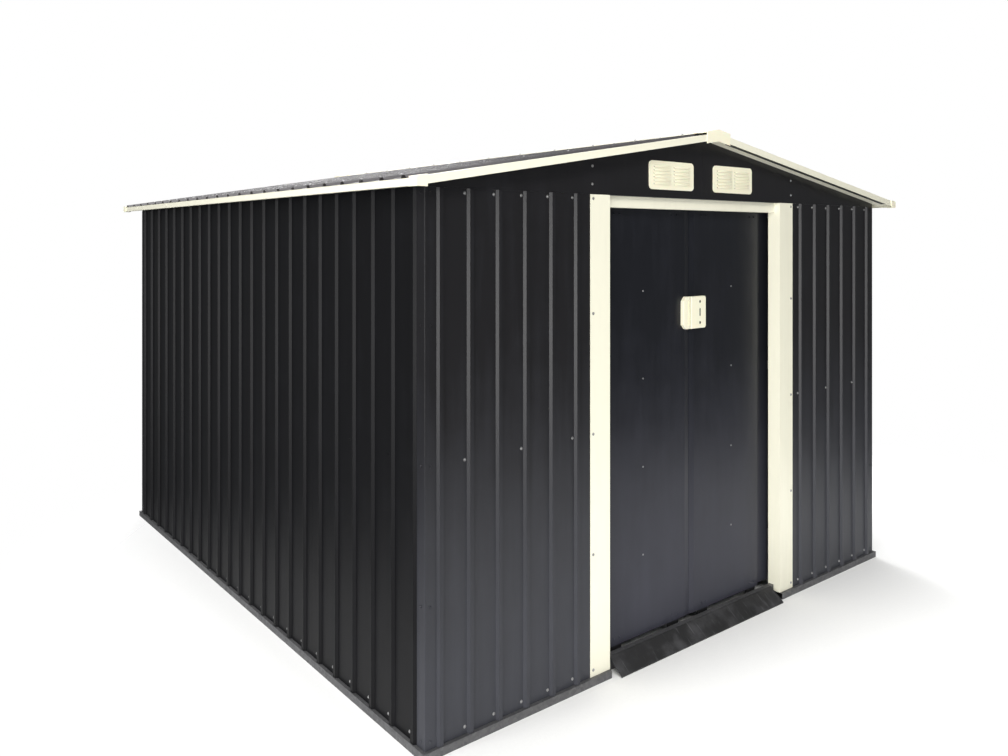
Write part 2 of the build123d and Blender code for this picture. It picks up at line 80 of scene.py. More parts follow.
# %% [markdown]
# ## Working by operators
#
# An operator acts on whatever is selected, and a freshly loaded frame is selected all over. So each
# piece starts by clearing the selection, and its faces are then chosen by the way they look. These
# few helpers do the choosing. The shaping itself is done with the same tools as by hand.

# %% Helpers for choosing
FRONT = Vector((0, -1, 0))
BACK = Vector((0, 1, 0))
LEFT = Vector((-1, 0, 0))
RIGHT = Vector((1, 0, 0))
UP = Vector((0, 0, 1))
SIDES = (("left", -1), ("right", 1))
SQUARE_ON = 0.9


def pick(*pieces):
    """Select these objects alone; the first becomes the active one."""
    bpy.ops.object.select_all(action="DESELECT")
    for piece in pieces:
        piece.select_set(True)
    bpy.context.view_layer.objects.active = pieces[0]


def choose_faces(way):
    """Go into edit mode with those faces selected that look this way."""
    piece = bpy.context.object
    bpy.ops.object.mode_set(mode="EDIT")
    bpy.context.tool_settings.mesh_select_mode = (False, False, True)
    bpy.ops.mesh.select_all(action="DESELECT")
    bpy.ops.object.mode_set(mode="OBJECT")
    for face in piece.data.polygons:
        face.select = face.normal.dot(way) > SQUARE_ON
    bpy.ops.object.mode_set(mode="EDIT")


def widest_face(node, wanted):
    """The largest face of a CAD node among those that pass a test."""
    faces = [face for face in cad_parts[node].data.polygons if wanted(face)]
    return max(faces, key=lambda face: face.area)


# %% [markdown]
# ## Starting, finishing and copying a piece
#
# A primitive is added at its size, and its place goes into its mesh at once, because a finished
# piece stands at the origin. Modifiers are applied for the same reason. What repeats is modelled
# once: each copy gets a mesh of its own, moved to its place, and the copies are joined.

# %% Helpers for making


def start(name):
    """Name the primitive that was just added and put its place into its mesh."""
    piece = bpy.context.object
    piece.name = piece.data.name = name
    pick(piece)
    bpy.ops.object.transform_apply(location=True, rotation=True, scale=True)
    return piece


def modify(piece, kind, **settings):
    """Give a piece a modifier with these settings and apply it."""
    pick(piece)
    modifier = piece.modifiers.new(kind.lower(), kind)
    for key, value in settings.items():
        setattr(modifier, key, value)
    bpy.ops.object.modifier_apply(modifier=modifier.name)


def bevel(piece, width, segments=2):
    """Round a piece's edges."""
    modify(piece, "BEVEL", width=width, segments=segments, limit_method="ANGLE")


def smooth(piece, degrees):
    """Shade a piece smooth, but keep the corners that are sharper than this."""
    pick(piece)
    bpy.ops.object.shade_smooth_by_angle(angle=math.radians(degrees))


def copied(model, move):
    """A copy of a model with a mesh of its own, moved by a matrix."""
    copy = model.copy()
    copy.data = model.data.copy()
    copy.data.transform(move)
    bpy.context.scene.collection.objects.link(copy)
    return copy


def placed(model, place, out, roll=0.0):
    """A copy with the model's +Z turned to out and its foot at place."""
    turn = out.to_track_quat("Z", "Y").to_matrix().to_4x4()
    return copied(model, Matrix.Translation(place) @ turn @ Matrix.Rotation(roll, 4, "Z"))


def gather(name, copies, body, finish):
    """Join copies into one named piece that rides on a body and wears a finish."""
    pick(*copies)
    if len(copies) > 1:
        bpy.ops.object.join()
    piece = bpy.context.object
    piece.name = piece.data.name = name
    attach(piece, body)
    finish.dress(piece)
    print(name, "has", len(copies), "copies and", len(piece.data.polygons), "faces")


# %% [markdown]
# ## Shader sums written as sums
#
# A node tree is easier to read as an expression. This small class wraps one output of a node, so
# that `dust * 0.3 + grain` adds the Math nodes for it.

# %% A value that can be added and multiplied


class Value:
    """One output of a shader node, with arithmetic that adds Math nodes."""

    def __init__(self, tree, socket):
        self.tree = tree
        self.socket = socket

    def maths(self, operation, first, second, clamp=False):
        """Add a Math node on two values or numbers."""
        made = self.tree.nodes.new("ShaderNodeMath")
        made.operation = operation
        made.use_clamp = clamp
        plug(made.inputs[0], first)
        plug(made.inputs[1], second)
        return Value(self.tree, made.outputs[0])

    def __add__(self, other):
        return self.maths("ADD", self, other)

    def __radd__(self, other):
        return self.maths("ADD", other, self)

    def __sub__(self, other):
        return self.maths("SUBTRACT", self, other)

    def __rsub__(self, other):
        return self.maths("SUBTRACT", other, self)

    def __mul__(self, other):
        return self.maths("MULTIPLY", self, other)

    def __rmul__(self, other):
        return self.maths("MULTIPLY", other, self)

    def __pow__(self, other):
        return self.maths("POWER", self, other)

    def held(self):
        """The value kept between 0 and 1."""
        return self.maths("ADD", self, 0.0, clamp=True)


def plug(socket, value):
    """Link a Value into a socket, or set a plain number, colour or vector on it."""
    if isinstance(value, Value):
        value.tree.links.new(value.socket, socket)
    elif hasattr(value, "__len__") and len(value) == 3 and socket.type == "RGBA":
        socket.default_value = (*value, 1.0)
    else:
        socket.default_value = value


# %% [markdown]
# ## A finish
#
# A finish is one material. Its method `node` adds any node by its type, and the other methods name
# the few that come back in each finish. Patterns are laid on Object coordinates, which are metres
# on the shed, so a grain has the same size on a small vent and on a long wall.

# %% One material and the nodes behind it


class Finish:
    """A named material, its shader and the ways to add nodes to it."""

    def __init__(self, name, **constants):
        self.material = bpy.data.materials.new(name)
        self.material.use_nodes = True
        self.tree = self.material.node_tree
        self.shader = self.tree.nodes["Principled BSDF"]
        self.place = self.node("TexCoord", "Object")
        self.set(**constants)

    def node(self, kind, output, settings=(), **inputs):
        """Add a node, set it up, feed its inputs and return one of its outputs."""
        made = self.tree.nodes.new("ShaderNode" + kind)
        for key, value in dict(settings).items():
            setattr(made, key, value)
        for key, value in inputs.items():
            plug(made.inputs[key.replace("_", " ")], value)
        return Value(self.tree, made.outputs[output])

    def blend(self, factor, first, second):
        """Mix two colours."""
        made = self.tree.nodes.new("ShaderNodeMix")
        made.data_type = "RGBA"
        plug(made.inputs[0], factor)
        plug(made.inputs[6], first)
        plug(made.inputs[7], second)
        return Value(self.tree, made.outputs[2])

    def axis(self, name):
        """One coordinate of the place on the shed, in metres."""
        return self.node("SeparateXYZ", name, Vector=self.place)

    def stretched(self, x, y, z):
        """The place, scaled along each axis, for streaks and brushing."""
        return self.node("Mapping", "Vector", Vector=self.place, Scale=(x, y, z))

    def noise(self, scale, detail, roughness=0.5, place=None):
        """Soft noise from 0 to 1 at so many spots to the metre."""
        return self.node("TexNoise", 0, Vector=place or self.place, Scale=scale, Detail=detail,
                         Roughness=roughness)

    def cells(self, output, scale):
        """Voronoi cells at so many to the metre: their distance from the middle or their colour."""
        return self.node("TexVoronoi", output, {"feature": "F1"}, Vector=self.place, Scale=scale)

    def step(self, value, low, high):
        """0 under low, 1 over high and smooth between them."""
        return self.node("MapRange", 0, {"interpolation_type": "SMOOTHSTEP"}, Value=value,
                         From_Min=low, From_Max=high)

    def bump(self, height, distance, strength=1.0):
        """A normal bumped by a height from 0 to 1 that stands for this distance in metres."""
        return self.node("Bump", "Normal", Height=height, Distance=distance, Strength=strength)

    def set(self, **inputs):
        """Feed the shader's own sockets."""
        for key, value in inputs.items():
            plug(self.shader.inputs[key.replace("_", " ")], value)

    def dress(self, *pieces):
        """Give this finish to pieces or to CAD nodes named by text."""
        for piece in pieces:
            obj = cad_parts[piece] if isinstance(piece, str) else piece
            if obj.material_slots:
                for holder in obj.material_slots:
                    holder.material = self.material
            else:
                obj.data.materials.append(self.material)


# %% [markdown]
# ## Charcoal paint on the wall sheets
#
# The wall sheets are coil-coated: a thin, even, near-black paint baked on before the ribs are
# rolled. It could be one flat colour, but a rolled sheet is never flat. It has a fine orange-peel
# skin and wide, soft waves where the metal was stretched, and it is painted lighter towards the
# foot: some dust, and a painted reflection of the pale floor. The waves go into the bump, long from
# top to bottom as the rolls leave them, and the lighter foot into colour and roughness. The front
# gets the same paint a little paler, as painted light, and glossier, with a much lighter foot for
# the painted reflection; the sides and back keep it darker, as painted shade.

# %% Charcoal paint
peel_grain = 1400.0
lighter_foot_line = 1.25


def coated_paint(name, deep, dusty_and_reflecting, matt, shine, foot_dust_and_reflection, wave=1.2 * MM,
                 streaks=(9.0, 9.0, 0.5)):
    """Baked paint on thin rolled sheet: orange peel, long waves and a lighter foot of dust and
    painted floor reflection.
    """
    paint = Finish(name, Specular_IOR_Level=shine)
    grain = paint.noise(peel_grain, 2.0)
    mottle = paint.noise(7.0, 5.0, 0.6)
    runs = paint.noise(4.0, 4.0, 0.6, paint.stretched(*streaks))
    # The foot is painted lighter: some dust, and a painted reflection of the pale floor.
    foot = 1.0 - paint.step(paint.axis("Z"), 0.0, lighter_foot_line)
    dust_and_floor_reflection = (foot * foot_dust_and_reflection + (mottle - 0.5) * 0.3 + (runs - 0.5) * 0.35).held()
    specks = paint.step(paint.noise(260.0, 2.0), 0.68, 0.75) * dust_and_floor_reflection
    waves = paint.noise(1.0, 2.0, 0.4, paint.stretched(7.0, 7.0, 1.6))
    paint.set(
        Base_Color=paint.blend((dust_and_floor_reflection + specks * 0.5).held(), deep, dusty_and_reflecting),
        Roughness=(matt + dust_and_floor_reflection * 0.14 + (grain - 0.5) * 0.06).held(),
        Normal=paint.bump(waves + grain * 0.006, wave),
    )
    return paint


# The sides and back get the darker copy of the paint: painted shade.
charcoal = coated_paint("charcoal_paint", deep=(0.0062, 0.0062, 0.0070),
                        dusty_and_reflecting=(0.022, 0.023, 0.027), matt=0.38, shine=0.10, foot_dust_and_reflection=0.03)
charcoal.dress("left_wall", "right_wall", "back_wall", "gable_back_left", "gable_back_right",
               "corner_post_back_left", "corner_post_back_right")
# The front gets a paler copy, painted light, and a much lighter foot, a painted reflection of the
# floor.
lit_front_paint = coated_paint("lit_front_paint", deep=(0.0115, 0.0112, 0.0125),
                           dusty_and_reflecting=(0.044, 0.046, 0.056), matt=0.34, shine=0.26, foot_dust_and_reflection=0.75)
lit_front_paint.dress("front_wall_left", "front_wall_right", "gable_front_left", "gable_front_right",
                  "corner_post_front_left", "corner_post_front_right")
print("charcoal paint:", len(charcoal.tree.nodes), "shader nodes")

# %% [markdown]
# ## Paint on the door leaves
#
# The leaves are flat pans from the same coil, but a flat face shows its gloss more than a ribbed
# one: it mirrors the pale ground in its lower half, and that reflection is also painted into its
# colour as a much lighter foot. The same paint is used, bluer and smoother, with deeper waves.

# %% Door paint
# Its much lighter foot is a painted reflection of the pale ground.
door_paint = coated_paint("door_paint", deep=(0.0098, 0.0106, 0.0138),
                          dusty_and_reflecting=(0.046, 0.047, 0.062), matt=0.29, shine=0.2, foot_dust_and_reflection=0.8,
                          wave=2.2 * MM, streaks=(5.0, 5.0, 0.7))
door_paint.dress("door_leaf_left", "door_leaf_right")
print("door paint:", len(door_paint.tree.nodes), "shader nodes")

# %% [markdown]
# ## Roof paint
#
# A roof catches dust and rain. Water runs straight down the slope, so its marks are long across the
# shed and short along it. The roof is also chalkier than the walls, because the sun falls on it all
# day.

# %% Roof paint
roof_paint = Finish("roof_paint", Specular_IOR_Level=0.4)
roof_runs = roof_paint.noise(5.0, 5.0, 0.65, roof_paint.stretched(0.6, 9.0, 0.6))
roof_spots = roof_paint.step(roof_paint.noise(190.0, 2.0), 0.66, 0.74)
roof_grain = roof_paint.noise(peel_grain, 2.0)
roof_dust = ((roof_runs - 0.42) * 1.5 + roof_paint.noise(2.5, 3.0) * 0.3).held()
roof_chalk = (roof_dust * 0.75 + roof_spots * 0.2).held()
roof_waves = roof_paint.noise(1.0, 2.0, 0.4, roof_paint.stretched(1.6, 7.0, 1.6))
roof_paint.set(
    Base_Color=roof_paint.blend(roof_chalk, (0.034, 0.031, 0.034), (0.082, 0.078, 0.08)),
    Roughness=(0.42 + roof_dust * 0.2 + (roof_grain - 0.5) * 0.06).held(),
    Normal=roof_paint.bump(roof_waves + roof_grain * 0.006, 1.4 * MM),
)
roof_paint.dress("roof_left", "roof_right")
print("roof paint:", len(roof_paint.tree.nodes), "shader nodes")

# %% [markdown]
# ## Cream paint on the trims and the door frame
#
# The trims are folded from cream coil, lighter and a little softer than the walls. On a pale paint
# the dirt is what gives it scale: faint grey-yellow runs down its length, and more of it at the
# foot of the jambs, where rain splashes up.

# %% Cream paint
splash_low, splash_high = 0.02, 0.32
cream = Finish("cream_paint", Specular_IOR_Level=0.45, Coat_Roughness=0.15)
cream_runs = cream.noise(6.0, 5.0, 0.6, cream.stretched(8.0, 8.0, 0.7))
cream_grain = cream.noise(1200.0, 2.0)
cream_foot = 1.0 - cream.step(cream.axis("Z"), splash_low, splash_high)
cream_dirt = ((cream_runs - 0.5) * 0.6 + cream_foot * 0.35).held()
cream_spots = cream.step(cream.noise(230.0, 2.0), 0.7, 0.76) * cream_dirt
cream_stain = (cream_dirt * 0.7 + cream_spots * 0.5).held()
cream_waves = cream.noise(9.0, 2.0)
cream.set(
    Base_Color=cream.blend(cream_stain, (0.85, 0.83, 0.68), (0.60, 0.57, 0.47)),
    Roughness=(0.36 + cream_dirt * 0.25 + (cream_grain - 0.5) * 0.05).held(),
    Coat_Weight=(0.2 - cream_dirt * 0.2).held(),
    Normal=cream.bump(cream_waves + cream_grain * 0.02, 0.5 * MM),
)
cream.dress("door_jamb_left", "door_jamb_right", "door_header", "ridge_cap", "eave_trim_left",
            "eave_trim_right", "rake_trims_front", "rake_trims_back")
print("cream paint:", len(cream.tree.nodes), "shader nodes")

# %% [markdown]
# ## Moulded plastic and rubber
#
# Vents, handles and roof caps are injection moulded. The mould's face is finely spark-eroded, which
# gives a tight, even grain and no waves. The cream plastic is a touch yellower than the paint
# beside it and lets a little light in under its skin. The black one is for the hangers and the
# grey, duller one for rubber.

# %% Plastics
mould_grain = 1500.0
pit_depth = 0.12 * MM
skin_depth = 2 * MM


def moulded(name, colour, worn, matt, glow):
    """Moulded plastic with the fine pitted grain of its mould and slightly worn colour."""
    plastic = Finish(name, Specular_IOR_Level=0.4, Subsurface_Weight=glow,
                     Subsurface_Scale=skin_depth)
    pits = plastic.cells("Distance", mould_grain)
    cloud = plastic.noise(16.0, 4.0, 0.6)
    rubbed = plastic.step(plastic.noise(70.0, 3.0), 0.55, 0.8)
    plastic.set(
        Base_Color=plastic.blend((cloud * 0.35 + rubbed * 0.2).held(), colour, worn),
        Roughness=(matt + (cloud - 0.5) * 0.16 - rubbed * 0.06).held(),
        Normal=plastic.bump(pits, pit_depth, 0.6),
    )
    return plastic


cream_plastic = moulded("cream_plastic", colour=(0.90, 0.87, 0.68), worn=(0.82, 0.785, 0.60),
                        matt=0.48, glow=0.06)
cream_plastic.dress("vent_left", "vent_right", "ridge_end_caps", "eave_corner_caps",
                    "door_handle_left", "door_handle_right")
black_plastic = moulded("black_plastic", colour=(0.013, 0.013, 0.014), worn=(0.03, 0.03, 0.032),
                        matt=0.5, glow=0.0)
black_plastic.dress("door_hangers_left", "door_hangers_right")
# The grey rubber dresses only the handle's buffer, where its grey is a painted shade in the groove.
rubber = moulded("grey_rubber", colour=(0.30, 0.30, 0.24), worn=(0.22, 0.22, 0.18), matt=0.7,
                 glow=0.0)
print("plastics:", len(cream_plastic.tree.nodes), "shader nodes each")

# %% [markdown]
# ## Zinc on rails and fasteners
#
# Hot-dipped zinc freezes in flat crystals, the spangle, each turned a little from its neighbours,
# so each has its own grey and its own gloss. Cells of a Voronoi texture stand for the crystals: the
# colour of a cell drives the tint and the roughness, and storage stain gathers near the ground. The
# rails inside stay bright. Those at the foot get a darker, duller copy of the same zinc. Screws are
# plated, with crystals too small to see.

# %% Zinc
stain_line = 0.07


def zinc(name, bright, dull, spangle, matt):
    """Zinc-coated steel with crystals at so many to the metre."""
    coat = Finish(name)
    tint = coat.node("SeparateColor", "Red", Color=coat.cells("Color", spangle))
    stain = coat.noise(11.0, 5.0, 0.65)
    foot = 1.0 - coat.step(coat.axis("Z"), 0.0, stain_line)
    grime = ((stain - 0.45) * 0.9 + foot * 0.25).held()
    scratches = coat.noise(60.0, 3.0, 0.6, coat.stretched(1.0, 1.0, 14.0))
    coat.set(
        Base_Color=coat.blend((tint * 0.55 + grime * 0.45).held(), bright, dull),
        Metallic=(0.92 - grime * 0.5).held(),
        Roughness=(matt + tint * 0.12 + grime * 0.2 + (scratches - 0.5) * 0.12).held(),
        Normal=coat.bump(tint * 0.3 + scratches * 0.2, 0.3 * MM),
    )
    return coat


galvanised = zinc("galvanised", bright=(0.55, 0.56, 0.57), dull=(0.36, 0.37, 0.385),
                  spangle=95.0, matt=0.36)
galvanised.dress("door_track", "top_rails", "mid_rails", "roof_purlins", "ridge_beam")
darker_zinc = zinc("darker_zinc_coat", bright=(0.18, 0.18, 0.185), dull=(0.11, 0.11, 0.115),
                 spangle=95.0, matt=0.5)
darker_zinc.dress("base_rail_back", "base_rail_left", "base_rail_right", "base_rail_front_left",
                "base_rail_front_right", "door_bottom_track", "door_threshold")
plated = zinc("zinc_plating", bright=(0.40, 0.40, 0.40), dull=(0.26, 0.26, 0.26),
              spangle=600.0, matt=0.42)
print("zinc:", len(galvanised.tree.nodes), "shader nodes each")

# %% [markdown]
# ## The ramp at the door
#
# The ramp is dark like the walls, but feet and wheels have scraped it: its paint is rougher, dusty
# all over and worn bright in scratches. These run the way things are pushed, straight in through
# the door, so the noise behind them is stretched along Y and Z.

# %% Scuffed ramp paint
ramp_paint = Finish("ramp_paint", Specular_IOR_Level=0.35)
ramp_dust = ramp_paint.step(ramp_paint.noise(9.0, 6.0, 0.7), 0.42, 0.68)
ramp_scrapes = ramp_paint.noise(55.0, 3.0, 0.6, ramp_paint.stretched(1.0, 0.12, 0.12))
ramp_marks = ramp_paint.step(ramp_scrapes, 0.6, 0.7)
ramp_wear = (ramp_dust * 0.5 + ramp_marks * 0.5).held()
ramp_paint.set(
    Base_Color=ramp_paint.blend(ramp_wear, (0.016, 0.016, 0.017), (0.082, 0.082, 0.088)),
    Roughness=(0.55 + ramp_dust * 0.2 - ramp_marks * 0.2).held(),
    Normal=ramp_paint.bump(ramp_paint.noise(300.0, 3.0) - ramp_marks * 0.4, 0.4 * MM),
)
ramp_paint.dress("threshold_ramp")
print("materials so far:", len(bpy.data.materials))

# %% [markdown]
# ## Self-drilling screws
#
# The whole shed is held by small pan-head screws with a washer. Some four hundred of them need a
# model of few faces: a ten-sided disc for the washer, whose top is inset and raised for the head,
# tapered, and sunk again for the driver's recess. It is modelled once, standing on z = 0, and
# copied to each place.

# %% Model a screw
washer_radius = 5.2 * MM
washer_thickness = 1.0 * MM
head_radius = 3.7 * MM
head_height = 2.2 * MM
recess_rim = head_radius * 0.3
recess_depth = 1.1 * MM


def draw_out(height, taper):
    """Extrude the selected faces up or down and narrow them."""
    bpy.ops.mesh.extrude_region_move(TRANSFORM_OT_translate={"value": (0, 0, height)})
    bpy.ops.transform.resize(value=(taper, taper, 1.0))


def raise_top(rim, height, taper):
    """Inset the selected faces by a rim, then draw them out."""
    bpy.ops.mesh.inset(thickness=rim)
    draw_out(height, taper)


bpy.ops.mesh.primitive_cylinder_add(vertices=10, radius=washer_radius, depth=washer_thickness,
                                    location=(0, 0, washer_thickness / 2))
screw = start("screw")
choose_faces(UP)
raise_top(washer_radius - head_radius, head_height, taper=0.72)
raise_top(recess_rim, -recess_depth, taper=0.8)
bpy.ops.object.mode_set(mode="OBJECT")
smooth(screw, 30)
print("screw:", len(screw.data.polygons), "faces")

# %% [markdown]
# ## Rivets for the doors and the eaves
#
# The doors' inner braces and the eave trims are riveted, and a pop rivet shows a low dome with a
# pit where its pin broke off. A flat cylinder does for the start: its top is raised in two
# narrowing steps and sunk in the middle.

# %% Model a rivet
rivet_radius = 3.6 * MM
flange_thickness = 0.5 * MM
pin_rim = rivet_radius * 0.12
pin_depth = 0.5 * MM
bpy.ops.mesh.primitive_cylinder_add(vertices=12, radius=rivet_radius, depth=flange_thickness,
                                    location=(0, 0, flange_thickness / 2))
rivet = start("rivet")
choose_faces(UP)
draw_out(0.6 * MM, taper=0.84)
draw_out(0.4 * MM, taper=0.6)
raise_top(pin_rim, -pin_depth, taper=0.8)
bpy.ops.object.mode_set(mode="OBJECT")
smooth(rivet, 40)
print("rivet:", len(rivet.data.polygons), "faces")

# %% [markdown]
# ## Screws along the walls
#
# A fitter drives a screw in the flat beside each rib, where a rail lies behind the sheet: into the
# base rail, the mid rail and the top rail. On the side and back walls the upper rows have painted
# heads, and only the row at the foot is bare zinc. A driver never leaves two heads turned alike, so
# each copy is rolled by a seeded amount.

# %% Screw the walls
dice = random.Random(7)
beside_rib = rib_foot / 2 + 8 * MM
foot_row = ledge_top + 22 * MM
middle_row = 830 * MM
head_row = wall_top - 14 * MM


def drive(name, model, spots, body, finish):
    """Copies of a screw, rivet or cap at each (place, out), each rolled, as one piece."""
    copies = [placed(model, place, out, dice.uniform(0, math.tau)) for place, out in spots]
    gather(name, copies, body, finish)


def wall_spots(out, ribs, rows):
    """Places beside the ribs of the wall that faces out, but every other rib in the middle row."""
    along = out.cross(UP)
    spots = []
    for row in rows:
        for i, rib in enumerate(ribs):
            if row != middle_row or i % 2 == 0:
                spots.append((out * half_plan + along * (rib + beside_rib) + UP * row, out))
    return spots


for name, out, ribs in (("left", LEFT, [-rib for rib in rib_places[1:]]),
                        ("right", RIGHT, rib_places[:-1]), ("back", BACK, rib_places[:-1])):
    drive(f"{name}_wall_screws", screw, wall_spots(out, ribs, [foot_row]), "shed",
          plated)
    drive(f"{name}_wall_painted_screws", screw, wall_spots(out, ribs, [middle_row, head_row]),
          "shed", charcoal)

front_rows = [foot_row, middle_row, head_row]
front_ribs = [rib for rib in rib_places
              if rib > abs(jamb_low.x) + rib_foot and rib + beside_rib < half_plan]
drive("front_wall_screws_left", screw, wall_spots(FRONT, front_ribs[:-1], front_rows), "shed",
      plated)
drive("front_wall_screws_right", screw, wall_spots(FRONT, [-rib for rib in front_ribs], front_rows),
      "shed", plated)

# %% [markdown]
# ## Screws in the corner posts and the jambs
#
# A post is screwed to both walls that meet in it, so its screws come in pairs, one in each leg. A
# jamb has one row down its outer edge. Both have two more rows than the walls, halfway between
# the rails.

# %% Screw the posts and the jambs
tall_rows = [foot_row, 430 * MM, middle_row, 1230 * MM, head_row]
post_low, post_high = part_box("corner_post_front_left")
post_face = -post_low.x
post_middle = post_face - (post_high.x - post_low.x) / 2
post_spots = []
for sx in (-1, 1):
    for sy in (-1, 1):
        for row in tall_rows:
            post_spots.append((Vector((sx * post_face, sy * post_middle, row)), RIGHT * sx))
            post_spots.append((Vector((sx * post_middle, sy * post_face, row)), BACK * sy))
drive("corner_post_screws", screw, post_spots, "shed", lit_front_paint)

jamb_edge = 13 * MM
jamb_row = abs(jamb_low.x) - jamb_edge
jamb_spots = [(Vector((side * jamb_row, jamb_low.y, row)), FRONT)
              for side in (-1, 1) for row in tall_rows]
drive("door_jamb_screws", screw, jamb_spots, "shed", plated)

# %% [markdown]
# ## Screws in the gables
#
# A purlin ends behind each gable sheet. The sheet is screwed to it by a pair, one above the other.

# %% Screw the gables
purlin_place = 598 * MM
gable_rows = (wall_top + 34 * MM, wall_top + 94 * MM)
for end, out in (("front", FRONT), ("back", BACK)):
    spots = []
    for side in (-1, 1):
        for row in gable_rows:
            spots.append((out * half_plan + RIGHT * side * purlin_place + UP * row, out))
    drive(f"gable_{end}_screws", screw, spots, "shed", plated)

# %% [markdown]
# ## Screws on the roof
#
# Roof sheets are fixed through their ribs, so that the rain runs past the hole and not into it. The
# pitch is read from the largest face of a sheet, and the ribs' crests from the top of its box.

# %% Screw the roof
slope = widest_face("roof_right", lambda face: face.normal.z > 0.5).normal
pitch = math.atan2(abs(slope.x), slope.z)
roof_rib_count = 24
roof_ribs = spread(roof_rib_count, rib_pitch)
ridge_row = 110 * MM
eave_row = roof_high.x - 70 * MM
washer_seat = 0.2 * MM


def roof_normal(side):
    """The way the roof looks on this side of the ridge."""
    return Vector((side * math.sin(pitch), 0, math.cos(pitch)))


def crest_height(x):
    """Height of the roof ribs' crests this far across the shed."""
    return roof_high.z - (abs(x) - roof_low.x) * math.tan(pitch)


for name, side in SIDES:
    spots = []
    for row in (ridge_row, purlin_place, eave_row):
        for i, rib in enumerate(roof_ribs[1:-1]):
            if row != purlin_place or i % 2 == 0:
                place = Vector((side * row, rib, crest_height(row) - washer_seat))
                spots.append((place, roof_normal(side)))
    drive(f"roof_screws_{name}", screw, spots, "shed", plated)
print("roof pitch read from the sheet:", round(math.degrees(pitch), 2))

# %% [markdown]
# ## Fasteners on the ridge cap and the eave trims
#
# The cap over the ridge is screwed down near both edges, at every other rib. The eave trims stand
# upright along the sides and are held by a few rivets, in their own cream.

# %% Fix the ridge cap and the eave trims
cap_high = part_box("ridge_cap")[1]
cap_row = cap_high.x - 14 * MM
cap_row_height = cap_high.z - cap_row * math.tan(pitch)
cap_places = spread(12, 2 * rib_pitch)
ridge_spots = [(Vector((side * cap_row, place, cap_row_height)), roof_normal(side))
               for side in (-1, 1) for place in cap_places]
drive("ridge_cap_screws", screw, ridge_spots, "shed", plated)

eave_low, eave_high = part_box("eave_trim_right")
eave_rivet_row = eave_low.z + 13 * MM
eave_places = spread(6, 4 * rib_pitch)
eave_spots = [(Vector((side * eave_high.x, place, eave_rivet_row)), RIGHT * side)
              for side in (-1, 1) for place in eave_places]
drive("eave_trim_rivets", rivet, eave_spots, "shed", cream)

# %% [markdown]
# ## Fasteners on the doors
#
# Each leaf has its brace riveted on in four places. Its two hangers and two guides are screwed on
# from the front, each by a pair: the hangers at the head and the guides at the foot. These ride
# with their own leaf.

# %% Fix the braces, hangers and guides
brace_place = 268 * MM
brace_rows = (1290 * MM, 974 * MM, 655 * MM, 338 * MM)
hanger_places = (90 * MM, 410 * MM)
hanger_row = leaf_high.z - 28 * MM
guide_row = leaf_low.z + 24 * MM
screw_apart = 15 * MM
for name, side in SIDES:
    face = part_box(f"door_leaf_{name}")[0].y
    rivets = [(Vector((side * brace_place, face, row)), FRONT) for row in brace_rows]
    drive(f"door_rivets_{name}", rivet, rivets, f"door_{name}", plated)
    pairs = [(Vector((side * place + shift, face, row)), FRONT) for place in hanger_places
             for row in (hanger_row, guide_row) for shift in (-screw_apart, screw_apart)]
    drive(f"door_hanger_screws_{name}", screw, pairs, f"door_{name}",
          door_paint)

# %% [markdown]
# ## Caps in the handle's plate
#
# The plate's screw holes are deep, and what shows in them from the side is what fills them: a black
# cap, set a little below the plate's face. It starts as a cylinder, whose top is sunk and then
# raised again in the middle.

# %% Cap the handle's screws
plate_low, plate_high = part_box("door_handle_right")
plate_middle = (plate_low.z + plate_high.z) / 2
plate_hole = 46 * MM
hole_inset = 21 * MM
hole_rows = [plate_low.z + hole_inset, plate_high.z - hole_inset]
cap_sunk = 1.2 * MM
cap_depth = 8 * MM
cap_radius = 5.6 * MM
bpy.ops.mesh.primitive_cylinder_add(vertices=20, radius=cap_radius, depth=cap_depth,
                                    location=(0, 0, cap_depth / 2))
screw_cap = start("screw_cap")
choose_faces(UP)
raise_top(cap_radius * 0.3, -0.9 * MM, taper=0.9)
raise_top(cap_radius * 0.25, 0.5 * MM, taper=0.8)
bpy.ops.object.mode_set(mode="OBJECT")
smooth(screw_cap, 30)
cap_seat = plate_low.y + cap_sunk + cap_depth
cap_spots = [(Vector((plate_hole, cap_seat, row)), FRONT) for row in hole_rows]
drive("handle_screw_caps", screw_cap, cap_spots, "door_right", black_plastic)

# %% [markdown]
# ## Keyway and buffer of the handle
#
# The black keyway of the lock fills the slot between the two holes, and a grey rubber buffer fills
# the gap where the plate meets the pull of the other leaf: its grey is a painted shade in that
# groove. Both are bars with rounded edges and a groove: a cube is drawn to size, the face that
# shows is inset and pushed in, and a modifier rounds the edges.

# %% Make the keyway and the buffer


def bar(name, centre, size, rim, groove, edge):
    """A rounded bar, grooved in front if it stands and on its underside if it lies flat."""
    bpy.ops.mesh.primitive_cube_add(size=1.0, location=centre)
    bpy.ops.transform.resize(value=size)
    piece = start(name)
    grooved = FRONT if size[2] > size[1] else -UP
    choose_faces(grooved)
    bpy.ops.mesh.inset(thickness=rim)
    bpy.ops.mesh.extrude_region_move(TRANSFORM_OT_translate={"value": grooved * -groove})
    bpy.ops.object.mode_set(mode="OBJECT")
    bevel(piece, edge)
    smooth(piece, 40)
    return piece


keyway = bar("handle_keyway", (plate_hole, plate_low.y + cap_sunk + cap_depth / 2, plate_middle),
             size=(8.2 * MM, cap_depth, 30 * MM), rim=2.6 * MM, groove=1.6 * MM, edge=0.9 * MM)
gather("handle_keyway", [keyway], "door_right", black_plastic)

